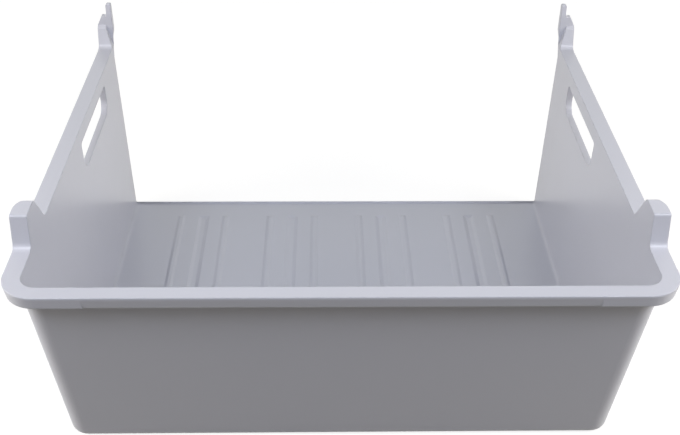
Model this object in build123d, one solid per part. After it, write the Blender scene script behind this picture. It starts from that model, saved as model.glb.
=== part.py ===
from build123d import *

import os
from math import cos, radians, tan

# Freezer drawer tub: one thin-walled plastic moulding, open at the top and at the front.
# X runs across the drawer, Y from the rear wall towards the open front, Z up.
# The origin lies on the underside, at the middle of the overall width and depth.
# All sizes are in millimetres and degrees.

# Floor and walls
rim_width = 430.0  # across the outer edges of the two side flanges
rim_height = 171.0  # from the underside to the level rim
floor_depth = 309.0  # along the floor, from the rear edge to the open front
wall = 2.4
floor_thickness = 2.6
side_draft = 1.2  # lean of each side wall, outwards
rear_lean = 12.6  # lean of the rear wall, backwards
front_lean = 0.9  # lean of the free front edges, forwards
corner_radius = 14.0  # upright rear corners, outside
bottom_radius = 8.0  # edge between the walls and the underside
floor_corner_radius = 3.0  # inner corner between the walls and the floor

# Rim flange with its turned-down lip
rim_overhang = 9.7  # flange beyond the outer face of each side wall
rear_overhang = 8.4  # flange beyond the outer face of the rear wall
flange_thickness = 2.4
lip_depth = 9.2
lip_thickness = 2.0
lip_draft = 9.0  # lean of the lip, inwards going down
lip_middle_draft = 14.0  # lean of the rear lip's middle length
lip_middle_half = 161.5  # from the drawer's middle to each end of that length
rim_edge_radius = 0.5  # outer top edge of the flange

# Raised ears beside the rear corners
ear_setback = 42.5  # from the rear wall's top edge to the foot of the ear
ear_height = 23.3
ear_riser_run = 5.0
ear_top_length = 18.2
ear_slope_run = 15.0
ear_foot_radius = 5.5
ear_brow_radius = 2.0
ear_crest_radius = 4.0
ear_flange_reach = 3.0  # of the ear's flange past the crest
ear_tip_radius = 13.0  # outer front corner of the ear's flange, seen from above
rail_end_radius = 5.0  # outer rear corner of the long side flange, seen from above

# Hand slots in the side walls, each with a raised collar outside
slot_length = 100.0
slot_height = 24.8
slot_drop = 11.5  # from the rim to the slot's upper edge
slot_front_gap = 53.0  # from the slot to the wall's front edge
slot_top_radius = 3.0
slot_bottom_radius = 11.0
collar_width = 2.4
collar_depth = 3.0

# Floor pattern: groups of two raised ribs with a groove between them
group_pitch = 86.4
rib_pitch = 21.6
rib_width = 7.5
rib_height = 0.8
groove_width = 10.5
groove_depth = 1.1
rib_side_slope = 72.0  # of the ribs' and grooves' flanks, away from upright
rib_rear_margin = 28.0
rib_front_margin = 22.5
rib_side_margin = 25.0  # least distance from a group's field to the side wall

# Free front edge: an upstand on the floor and a return flange on each side
upstand_width = 1.4
upstand_height = 1.8
upstand_foot_radius = 1.0
return_width = 8.0
return_thickness = 2.4

# Posts on the front ends of the sides, where a front panel hooks on
post_foot_gap = 2.5  # from the foot of the ramp to the wall's front edge
post_foot_radius = 5.0
ramp_run = 7.5
ramp_height = 19.0
ramp_inset = 5.3  # how far the ramp's inner edge moves out on its way up
ramp_brow = 2.0  # chamfer between the ramp and the upright face above it
post_height = 27.0
post_chamfer = 4.0
post_nose = 11.0  # reach of the post beyond the wall's front edge
post_nose_height = 15.0
post_gusset_drop = 12.0  # from the rim down to the lower end of the nose
post_swell = 1.0  # thickening of the post towards the inside
swell_start = 7.0
swell_end = 13.0
finger_height = 38.7
finger_thickness = 4.4
finger_setback = 1.5
finger_tip_radius = 1.9
finger_root_radius = 2.0

# Places that follow from the sizes above
rim_half = rim_width / 2
draft_slope = tan(radians(side_draft))
rear_slope = tan(radians(rear_lean))
front_slope = tan(radians(front_lean))
floor_half = rim_half - rim_overhang - rim_height * draft_slope
rear_reach = rim_height * rear_slope + rear_overhang
front_reach = floor_depth + rim_height * front_slope + post_nose
floor_rear = (rear_reach - front_reach) / 2
floor_front = floor_rear + floor_depth
front_at_rim = floor_front + rim_height * front_slope
rim_rear = floor_rear - rear_reach
ear_foot = rim_rear + rear_overhang + ear_setback
ear_top_start = ear_foot + ear_riser_run
ear_crest = ear_top_start + ear_top_length
ear_end = ear_crest + ear_slope_run
tall = rim_height + max(ear_height, finger_height) + rim_overhang
far = rim_width + floor_depth  # past the object in any direction
inner_half_at_rim = floor_half - wall + rim_height * draft_slope
lean_drop = (rim_edge_radius + flange_thickness) / 2  # from the rim to where the lip starts to lean
upward = 0.1  # least upward part of the direction that a top face looks in
off_middle = 1.0  # least distance from the middle to an edge that belongs to one side


def seen_from_side(points, radii):
    """Solid of a side outline of (y, z) points, right across the drawer."""
    outline = make_face(FilletPolyline(*points, radius=radii, close=True))
    return extrude(Plane.YZ * outline, amount=far, both=True)


def seen_from_rear(points, radii):
    """Solid of a rear outline of (x, z) points, along the whole depth."""
    outline = make_face(FilletPolyline(*points, radius=radii, close=True))
    return extrude(Plane.XZ * outline, amount=far, both=True)


def tub_block(inset, underside, foot_radius):
    """The tub's leaning, rounded outside, moved inwards by the inset; solid, and open-ended in front."""
    half = floor_half - inset / cos(radians(side_draft))
    rear = floor_rear + inset / cos(radians(rear_lean))
    across = [
        (-half - underside * draft_slope, underside),
        (half + underside * draft_slope, underside),
        (half + tall * draft_slope, tall),
        (-half - tall * draft_slope, tall),
    ]
    along = [
        (rear - underside * rear_slope, underside),
        (far, underside),
        (far, tall),
        (rear - tall * rear_slope, tall),
    ]
    block = seen_from_rear(across, 0) & seen_from_side(along, 0)
    uprights = block.edges().sort_by(lambda edge: edge.bounding_box().size.Z)[-4:]
    block = fillet(uprights.sort_by(Axis.Y)[:2], corner_radius - inset)
    around_floor = block.faces().sort_by(Axis.Z)[0].edges().sort_by(Axis.Y)[:-1]
    return fillet(around_floor, foot_radius)


def rim_column(plan):
    """A plan made solid: upright from just below the rim's rounded edge, leaning inwards lower down."""
    lean_top = Pos(0, 0, rim_height - lean_drop) * plan
    upright = extrude(lean_top, amount=tall - rim_height)
    leaning = extrude(lean_top, amount=lean_drop - lip_depth, taper=lip_draft)
    return upright + leaning


def rim_band(rear, front, rear_radius, front_radius):
    """Flange and turned-down lip between two places along the drawer, outside the walls."""
    corners = [(-rim_half, rear), (rim_half, rear), (rim_half, front), (-rim_half, front)]
    radii = [rear_radius, rear_radius, front_radius, front_radius]
    plan = make_face(FilletPolyline(*corners, radius=radii, close=True))
    outside = extrude(plan, amount=tall) & under_rim
    top_faces = [face for face in outside.faces() if face.normal_at().Z > upward]
    top_edges = [edge for face in top_faces for edge in face.edges()]
    rear_edges = [edge for edge in top_edges if edge.center().Y < rear + off_middle]
    side_edges = [edge for edge in top_edges if abs(edge.center().X) > off_middle]
    outside = fillet(rear_edges + side_edges, rim_edge_radius) & rim_column(plan)
    inside = rim_column(offset(plan, amount=-lip_thickness))
    flange = outside - Pos(0, flange_thickness, -flange_thickness) * under_rim
    lip = outside - inside - Pos(0, 0, -lip_depth) * under_rim
    return flange + lip - tub_outside


def hand_slot(growth):
    """Outline of the hand slots, enlarged all round, as a solid right across the drawer."""
    top = rim_height - slot_drop + growth
    bottom = rim_height - slot_drop - slot_height - growth
    front = front_at_rim - slot_front_gap + growth
    rear = front - slot_length - 2 * growth
    points = [(rear, bottom), (front, bottom), (front, top), (rear, top)]
    low, high = slot_bottom_radius + growth, slot_top_radius + growth
    return seen_from_side(points, [low, low, high, high])


def floor_bar(x, width, height):
    """A long bar on the floor with sloping sides and ends; a negative height sinks it into the floor."""
    length = floor_depth - rib_rear_margin - rib_front_margin
    middle = floor_rear + rib_rear_margin + length / 2
    field = Plane.XY.offset(floor_thickness) * Pos(x, middle) * Rectangle(width, length)
    return extrude(field, amount=height, taper=rib_side_slope)


def front_post():
    """The post on the right-hand side: a ramp of the flange, a stepped block and a finger."""
    plate = front_at_rim - post_foot_gap + ramp_run
    foot = front_at_rim - post_foot_gap
    side = seen_from_side(
        [
            (foot - post_foot_radius, rim_height - flange_thickness),
            (foot - post_foot_radius, rim_height),
            (foot, rim_height),
            (plate - ramp_brow, rim_height + ramp_height - ramp_brow),
            (plate, rim_height + ramp_height),
            (plate, rim_height + post_height),
            (plate + finger_setback, rim_height + finger_height),
            (front_at_rim + post_nose, rim_height + finger_height),
            (front_at_rim + post_nose, rim_height + post_nose_height),
            (front_at_rim - post_gusset_drop * front_slope, rim_height - post_gusset_drop),
        ],
        [0, 0, post_foot_radius, 0, 0, 0, finger_tip_radius, finger_tip_radius, post_foot_radius, 0],
    )
    inner = inner_half_at_rim
    finger_inner = inner - post_swell
    finger_outer = finger_inner + finger_thickness
    rear = seen_from_rear(
        [
            (inner, rim_height - post_gusset_drop),
            (inner, rim_height + swell_start),
            (finger_inner, rim_height + swell_end),
            (finger_inner, rim_height + finger_height),
            (finger_outer, rim_height + finger_height),
            (finger_outer, rim_height + post_height),
            (rim_half - post_chamfer, rim_height + post_height),
            (rim_half, rim_height + ramp_height),
            (rim_half, rim_height - post_gusset_drop),
        ],
        [0, 0, 0, finger_tip_radius, finger_tip_radius, finger_root_radius, 0, 0, 0],
    )
    beside_ramp = seen_from_rear(
        [
            (0, rim_height),
            (inner, rim_height),
            (inner + ramp_inset, rim_height + ramp_height),
            (inner + ramp_inset, tall),
            (0, tall),
        ],
        0,
    )
    behind_plate = Pos(0, plate - far, 0) * Box(2 * far, 2 * far, 2 * far)
    return (side & rear) - (beside_ramp & behind_plate)


# Everything below the rim's side profile, with the ears and the leaning front edge
under_rim = seen_from_side(
    [
        (-far, -rim_overhang),
        (-far, rim_height),
        (ear_foot, rim_height),
        (ear_top_start, rim_height + ear_height),
        (ear_crest, rim_height + ear_height),
        (ear_end, rim_height),
        (front_at_rim, rim_height),
        (floor_front - rim_overhang * front_slope, -rim_overhang),
    ],
    [0, 0, ear_foot_radius, ear_brow_radius, ear_crest_radius, ear_foot_radius, 0, 0],
)
tub_outside = tub_block(0, 0, bottom_radius)
tub_inside = tub_block(wall, floor_thickness, floor_corner_radius)
body = (tub_outside - tub_inside) & under_rim

# Rim flange: round the rear with both ears, then along each side
ear_front = ear_crest + ear_flange_reach
body += rim_band(rim_rear, ear_front, corner_radius + rim_overhang, ear_tip_radius)
body += rim_band(ear_end, front_at_rim, rail_end_radius, 0)

# Rear lip: from the flange's underside down, its middle length leans further inwards
middle_slope = tan(radians(lip_middle_draft))
lip_turn = rim_rear + (flange_thickness - lean_drop) * tan(radians(lip_draft))
behind_lip = seen_from_side(
    [
        (lip_turn - flange_thickness * middle_slope, rim_height),
        (lip_turn + (lip_depth - flange_thickness) * middle_slope, rim_height - lip_depth),
        (rim_rear - rim_overhang, rim_height - lip_depth),
        (rim_rear - rim_overhang, rim_height),
    ],
    0,
)
body -= behind_lip & Box(2 * lip_middle_half, far, 2 * tall)

# Hand slots
collars = (hand_slot(collar_width) & tub_block(-collar_depth, 0, bottom_radius)) - tub_outside
body += collars
body -= hand_slot(0)

# Floor ribs and grooves
field_width = 2 * (floor_half - rib_side_margin)
group_count = max(1, int(field_width / group_pitch))
for group in range(group_count):
    group_x = (group - (group_count - 1) / 2) * group_pitch
    body += floor_bar(group_x - rib_pitch, rib_width, rib_height)
    body += floor_bar(group_x + rib_pitch, rib_width, rib_height)
    body -= floor_bar(group_x, groove_width, -groove_depth)

# Upstand along the floor's front edge
upstand_top = floor_thickness + upstand_height
upstand_rear = floor_front - upstand_width
upstand = seen_from_side(
    [
        (upstand_rear - 2 * upstand_foot_radius, 0),
        (upstand_rear - 2 * upstand_foot_radius, floor_thickness),
        (upstand_rear, floor_thickness),
        (upstand_rear, upstand_top),
        (floor_front, upstand_top),
        (floor_front, 0),
    ],
    [0, 0, upstand_foot_radius, upstand_width / 4, upstand_width / 4, 0],
)
body += upstand & tub_outside & under_rim

# Return flanges down the front edges of the sides
front_strip = seen_from_side(
    [
        (floor_front - return_thickness, 0),
        (floor_front, 0),
        (front_at_rim, rim_height),
        (front_at_rim - return_thickness, rim_height),
    ],
    0,
)
body += (front_strip & tub_block(-return_width, 0, bottom_radius)) - tub_outside

# Front posts
right_post = front_post()
body += right_post
body += mirror(right_post, about=Plane.YZ)

os.makedirs("parts", exist_ok=True)
export_step(body, "parts/drawer_body.step")
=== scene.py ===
from math import cos, radians, sin

import bpy
from mathutils import Matrix, Vector


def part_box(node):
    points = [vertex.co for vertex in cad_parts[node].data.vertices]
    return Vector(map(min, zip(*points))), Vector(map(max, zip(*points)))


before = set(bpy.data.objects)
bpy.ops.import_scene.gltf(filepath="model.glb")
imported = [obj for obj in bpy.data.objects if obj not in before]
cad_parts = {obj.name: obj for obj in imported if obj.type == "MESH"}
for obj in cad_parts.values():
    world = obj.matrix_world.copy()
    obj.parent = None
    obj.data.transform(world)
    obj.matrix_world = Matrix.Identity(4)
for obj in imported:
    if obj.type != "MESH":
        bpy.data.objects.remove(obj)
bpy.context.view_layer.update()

# Freezer drawer tub in satin light grey plastic, seen from behind and above on a white studio floor.
# Lengths are in metres, angles in degrees and powers in watts.

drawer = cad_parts["drawer_body"]
box_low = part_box("drawer_body")[0]

# Photograph's frame and the camera that took it
image_width = 680
image_height = 435
focal_pixels = 1000.0
optical_centre = (346.28, 217.03)
camera_pitch = 34.69
camera_yaw = 1.50
camera_roll = -0.73
camera_side = -0.01155
camera_behind_rim = 0.4774
camera_height = 0.5618
sensor_width = 36.0  # in millimetres, as lenses are given

# Plastic
plastic_dark = (0.592, 0.604, 0.676, 1.0)
plastic_light = (0.610, 0.618, 0.684, 1.0)
cloud_scale = 7.0  # slow changes of colour, in waves per metre
cloud_detail = 2.0
satin_low = 0.27
satin_high = 0.33
satin_scale = 45.0  # changes of gloss over the skin, in waves per metre
satin_detail = 3.0
grain_scale = 1800.0  # fine grain of the mould, in waves per metre
grain_detail = 2.0
grain_depth = 0.000012
edge_softness = 0.001  # radius that the moulding's sharp edges are shaded with
foot_softness = 0.004  # the same at the foot of the side walls, where they run into the floor
foot_aside = (0.170, 0.182)  # distances from the middle between which it begins
foot_height = (0.018, 0.030)  # heights between which it ends

# Floor and backdrop
white = (1.0, 1.0, 1.0, 1.0)
world_level = 0.011
floor_size = 8.0
floor_colour = (0.24, 0.22, 0.19, 1.0)  # of the light that it throws back at the drawer
floor_seen_colour = (0.25, 0.25, 0.25, 1.0)
floor_near_glow = 0.86  # around the drawer, where its shadow shows
floor_far_glow = 1.0
floor_glow_reach = (0.5, 1.5)  # distances from the drawer's middle between which the glow rises

# Studio lights, given for the right one of a pair
light_aim = (0, 0, 0.1)
key_place = (0.46, -0.50, 0.76)
key_size = 0.3
key_power = 2.48
key_colour = (0.865, 0.90, 1.0)
side_place = (0.94, -0.22, 0.53)
side_size = 0.5
side_power = 5.6
side_colour = (1.0, 0.95, 0.87)
front_place = (0.0, 0.80, 0.80)
front_size = 0.8
front_power = 1.5
front_colour = (0.94, 1.0, 0.98)
corner_place = (0.70, 0.65, 0.50)
corner_size = 0.4
corner_power = 0.48
corner_colour = (1.0, 0.95, 0.82)


def add_camera():
    """Camera at the photograph's place, aim and angle of view."""
    pitch, yaw, roll = radians(camera_pitch), radians(camera_yaw), radians(camera_roll)
    forward = Vector((sin(yaw) * cos(pitch), cos(yaw) * cos(pitch), -sin(pitch)))
    level_right = Vector((cos(yaw), -sin(yaw), 0))
    level_down = forward.cross(level_right)
    right = cos(roll) * level_right + sin(roll) * level_down
    up = sin(roll) * level_right - cos(roll) * level_down
    data = bpy.data.cameras.new("camera")
    data.sensor_width = sensor_width
    data.lens = focal_pixels / image_width * sensor_width
    data.shift_x = (image_width / 2 - optical_centre[0]) / image_width
    data.shift_y = (optical_centre[1] - image_height / 2) / image_width
    camera = bpy.data.objects.new("camera", data)
    camera.matrix_world = Matrix((right, up, -forward)).transposed().to_4x4()
    camera.location = (camera_side, box_low.y - camera_behind_rim, camera_height)
    bpy.context.scene.collection.objects.link(camera)
    bpy.context.scene.camera = camera


def calculate(tree, operation, *values):
    """Result of one calculation with one or two values."""
    node = tree.nodes.new("ShaderNodeMath")
    node.operation = operation
    for value, socket in zip(values, node.inputs):
        tree.links.new(value, socket)
    return node.outputs[0]


def ramp(tree, value, reach, low, high):
    """Value that goes from low to high while another one goes through its reach."""
    node = tree.nodes.new("ShaderNodeMapRange")
    node.inputs["From Min"].default_value = reach[0]
    node.inputs["From Max"].default_value = reach[1]
    node.inputs["To Min"].default_value = low
    node.inputs["To Max"].default_value = high
    tree.links.new(value, node.inputs["Value"])
    return node.outputs["Result"]


def light_and_show(tree, lighting, shown, output):
    """Light the drawer with one shader, and show another to the camera and in mirrors and glass."""
    path = tree.nodes.new("ShaderNodeLightPath").outputs
    direct = calculate(tree, "MAXIMUM", path["Is Camera Ray"], path["Is Glossy Ray"])
    seen = calculate(tree, "MAXIMUM", direct, path["Is Transmission Ray"])
    mix = tree.nodes.new("ShaderNodeMixShader")
    tree.links.new(seen, mix.inputs["Fac"])
    tree.links.new(lighting.outputs[0], mix.inputs[1])
    tree.links.new(shown.outputs[0], mix.inputs[2])
    tree.links.new(mix.outputs[0], tree.nodes[output].inputs["Surface"])


def add_world():
    """Even dim light from all round, which shows as white."""
    world = bpy.data.worlds.new("studio")
    world.use_nodes = True
    tree = world.node_tree
    lighting = tree.nodes["Background"]
    lighting.inputs["Color"].default_value = white
    lighting.inputs["Strength"].default_value = world_level
    shown = tree.nodes.new("ShaderNodeBackground")
    shown.inputs["Color"].default_value = white
    light_and_show(tree, lighting, shown, "World Output")
    bpy.context.scene.world = world


def floor_material():
    """Matt floor that shows white, with a glow that leaves the drawer's shadow and hides the horizon."""
    material = bpy.data.materials.new("floor")
    material.use_nodes = True
    tree = material.node_tree
    tree.nodes.remove(tree.nodes["Principled BSDF"])
    lighting = tree.nodes.new("ShaderNodeBsdfDiffuse")
    lighting.inputs["Color"].default_value = floor_colour
    shade = tree.nodes.new("ShaderNodeBsdfDiffuse")
    shade.inputs["Color"].default_value = floor_seen_colour

    place = tree.nodes.new("ShaderNodeTexCoord").outputs["Object"]
    distance = tree.nodes.new("ShaderNodeVectorMath")
    distance.operation = "LENGTH"
    tree.links.new(place, distance.inputs[0])
    strength = ramp(tree, distance.outputs["Value"], floor_glow_reach, floor_near_glow, floor_far_glow)
    glow = tree.nodes.new("ShaderNodeEmission")
    tree.links.new(strength, glow.inputs["Strength"])

    shown = tree.nodes.new("ShaderNodeAddShader")
    tree.links.new(shade.outputs[0], shown.inputs[0])
    tree.links.new(glow.outputs[0], shown.inputs[1])
    light_and_show(tree, lighting, shown, "Material Output")
    return material


def add_floor():
    """Square floor under the drawer."""
    half = floor_size / 2
    mesh = bpy.data.meshes.new("floor")
    corners = [(-half, -half, 0), (half, -half, 0), (half, half, 0), (-half, half, 0)]
    mesh.from_pydata(corners, [], [(0, 1, 2, 3)])
    mesh.materials.append(floor_material())
    floor = bpy.data.objects.new("floor", mesh)
    bpy.context.scene.collection.objects.link(floor)


def add_softbox(name, place, size, power, colour):
    """Square studio light at a place, facing the drawer."""
    data = bpy.data.lights.new(name, "AREA")
    data.size = size
    data.color = colour
    data.energy = power
    light = bpy.data.objects.new(name, data)
    light.location = place
    light.rotation_euler = (Vector(light_aim) - Vector(place)).to_track_quat("-Z", "Y").to_euler()
    bpy.context.scene.collection.objects.link(light)


def add_pair(name, place, size, power, colour):
    """Two equal softboxes, right and left of the drawer."""
    add_softbox(name + "_right", place, size, power, colour)
    add_softbox(name + "_left", (-place[0], place[1], place[2]), size, power, colour)


def plastic():
    """Satin moulded plastic with slow colour and gloss changes, a fine grain and softened edges."""
    material = bpy.data.materials.new("body_plastic")
    material.use_nodes = True
    tree = material.node_tree
    shader = tree.nodes["Principled BSDF"]
    place = tree.nodes.new("ShaderNodeTexCoord").outputs["Object"]

    def noise(scale, detail):
        node = tree.nodes.new("ShaderNodeTexNoise")
        node.inputs["Scale"].default_value = scale
        node.inputs["Detail"].default_value = detail
        tree.links.new(place, node.inputs["Vector"])
        return node.outputs["Fac"]

    tint = tree.nodes.new("ShaderNodeMix")
    tint.data_type = "RGBA"
    tint.inputs["A"].default_value = plastic_dark
    tint.inputs["B"].default_value = plastic_light
    tree.links.new(noise(cloud_scale, cloud_detail), tint.inputs["Factor"])
    tree.links.new(tint.outputs["Result"], shader.inputs["Base Color"])

    satin = ramp(tree, noise(satin_scale, satin_detail), (0, 1), satin_low, satin_high)
    tree.links.new(satin, shader.inputs["Roughness"])

    axes = tree.nodes.new("ShaderNodeSeparateXYZ")
    tree.links.new(place, axes.inputs[0])
    aside = calculate(tree, "ABSOLUTE", axes.outputs["X"])
    beside_wall = ramp(tree, aside, foot_aside, edge_softness, foot_softness)
    above_floor = ramp(tree, axes.outputs["Z"], foot_height, foot_softness, edge_softness)
    softness = calculate(tree, "MINIMUM", beside_wall, above_floor)
    edges = tree.nodes.new("ShaderNodeBevel")
    tree.links.new(softness, edges.inputs["Radius"])

    grain = tree.nodes.new("ShaderNodeBump")
    grain.inputs["Distance"].default_value = grain_depth
    tree.links.new(noise(grain_scale, grain_detail), grain.inputs["Height"])
    tree.links.new(edges.outputs["Normal"], grain.inputs["Normal"])
    tree.links.new(grain.outputs["Normal"], shader.inputs["Normal"])
    return material


add_camera()
add_world()
add_floor()
add_pair("key", key_place, key_size, key_power, key_colour)
add_pair("side", side_place, side_size, side_power, side_colour)
add_softbox("front", front_place, front_size, front_power, front_colour)
add_pair("corner", corner_place, corner_size, corner_power, corner_colour)

drawer.data.materials.clear()
drawer.data.materials.append(plastic())

bpy.context.scene.view_settings.view_transform = "Standard"
